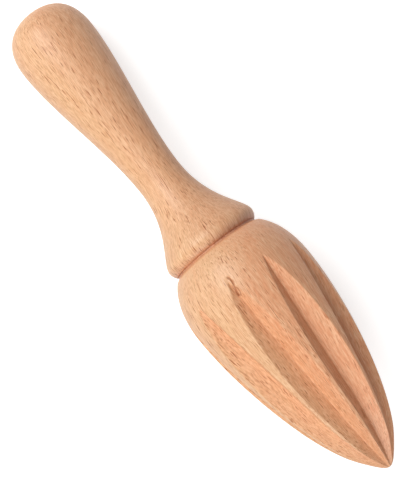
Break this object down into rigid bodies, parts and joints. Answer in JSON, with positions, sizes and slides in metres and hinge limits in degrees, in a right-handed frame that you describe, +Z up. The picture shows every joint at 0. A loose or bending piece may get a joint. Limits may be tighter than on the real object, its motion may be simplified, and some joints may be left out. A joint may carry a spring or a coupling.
{
  "type": "citrus reamer",
  "caption": "Turned beech hand reamer for citrus fruit: a knob-ended handle with a flared foot, glued by a round tenon into a pointed, fluted head.",
  "frame": {"origin": "on the level surface that the reamer lies on, under the middle of its overall length", "axes": "+X along the level surface from the knob to the tip, +Y across the tool, +Z up; the tool's own axis leans up by 4.6 degrees towards the tip, because the head is thicker than the knob"},
  "size_m": [0.1644, 0.04, 0.04],
  "materials": {
    "handle_beech": "turned and fine-sanded beech, bare, matt with a faint sheen",
    "head_beech": "turned and fine-sanded beech with freshly cut flutes, bare and matt"
  },
  "bodies": {
    "root": {"handle": "handle_beech", "reamer_head": "head_beech"}
  },
  "joints": []
}
